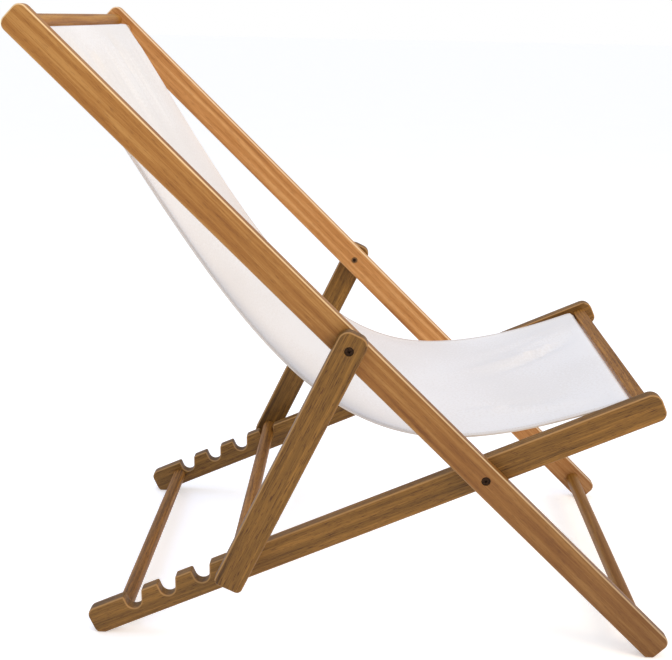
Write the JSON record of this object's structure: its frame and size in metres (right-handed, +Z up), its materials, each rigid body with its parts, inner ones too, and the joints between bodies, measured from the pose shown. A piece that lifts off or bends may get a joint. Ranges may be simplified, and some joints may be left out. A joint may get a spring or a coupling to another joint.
{
  "type": "folding deck chair",
  "caption": "Folding timber deck chair: two crossed frames, a prop frame that drops into notches, and a hanging cloth sling seat.",
  "frame": {"origin": "on the floor, under the middle of the chair's overall box, in the rest pose with the prop in its front notch", "axes": "+X is the way the sitter faces, +Y is the sitter's left, +Z is up"},
  "size_m": [0.9154, 0.628, 0.8905],
  "materials": {
    "honey_wood": "oiled hardwood, honey brown",
    "walnut_wood": "oiled hardwood, mid brown with darker streaks",
    "rod_wood": "plain turned beech",
    "canvas": "off-white woven cotton canvas",
    "dark_steel": "blackened steel",
    "washer_steel": "zinc-plated steel"
  },
  "bodies": {
    "back": {"right_back_rail": "honey_wood", "left_back_rail": "honey_wood", "top_crossbar": "honey_wood", "foot_crossbar": "honey_wood", "top_sling_rod": "rod_wood", "right_scissor_bolt": "dark_steel", "left_scissor_bolt": "dark_steel", "right_scissor_nut": "dark_steel", "left_scissor_nut": "dark_steel", "right_scissor_washer": "washer_steel", "left_scissor_washer": "washer_steel", "right_prop_bolt": "dark_steel", "left_prop_bolt": "dark_steel", "right_prop_nut": "dark_steel", "left_prop_nut": "dark_steel", "right_prop_washer": "washer_steel", "left_prop_washer": "washer_steel", "sling": "canvas"},
    "seat": {"right_seat_rail": "walnut_wood", "left_seat_rail": "walnut_wood", "front_crossbar": "walnut_wood", "rear_crossbar": "walnut_wood", "front_sling_rod": "rod_wood"},
    "prop": {"right_prop_leg": "walnut_wood", "left_prop_leg": "walnut_wood", "prop_crossbar": "walnut_wood"}
  },
  "joints": [
    {"name": "seat_fold", "type": "hinge", "parent": "back", "child": "seat", "pos_m": [0.18351, 0, 0.26617], "axis": [0, 1, 0], "range_deg": [-5, 68.1], "deforming": ["sling"]},
    {"name": "prop_swing", "type": "hinge", "parent": "back", "child": "prop", "pos_m": [-0.01004, 0, 0.45443], "axis": [0, 1, 0], "range_deg": [0, 99]}
  ]
}
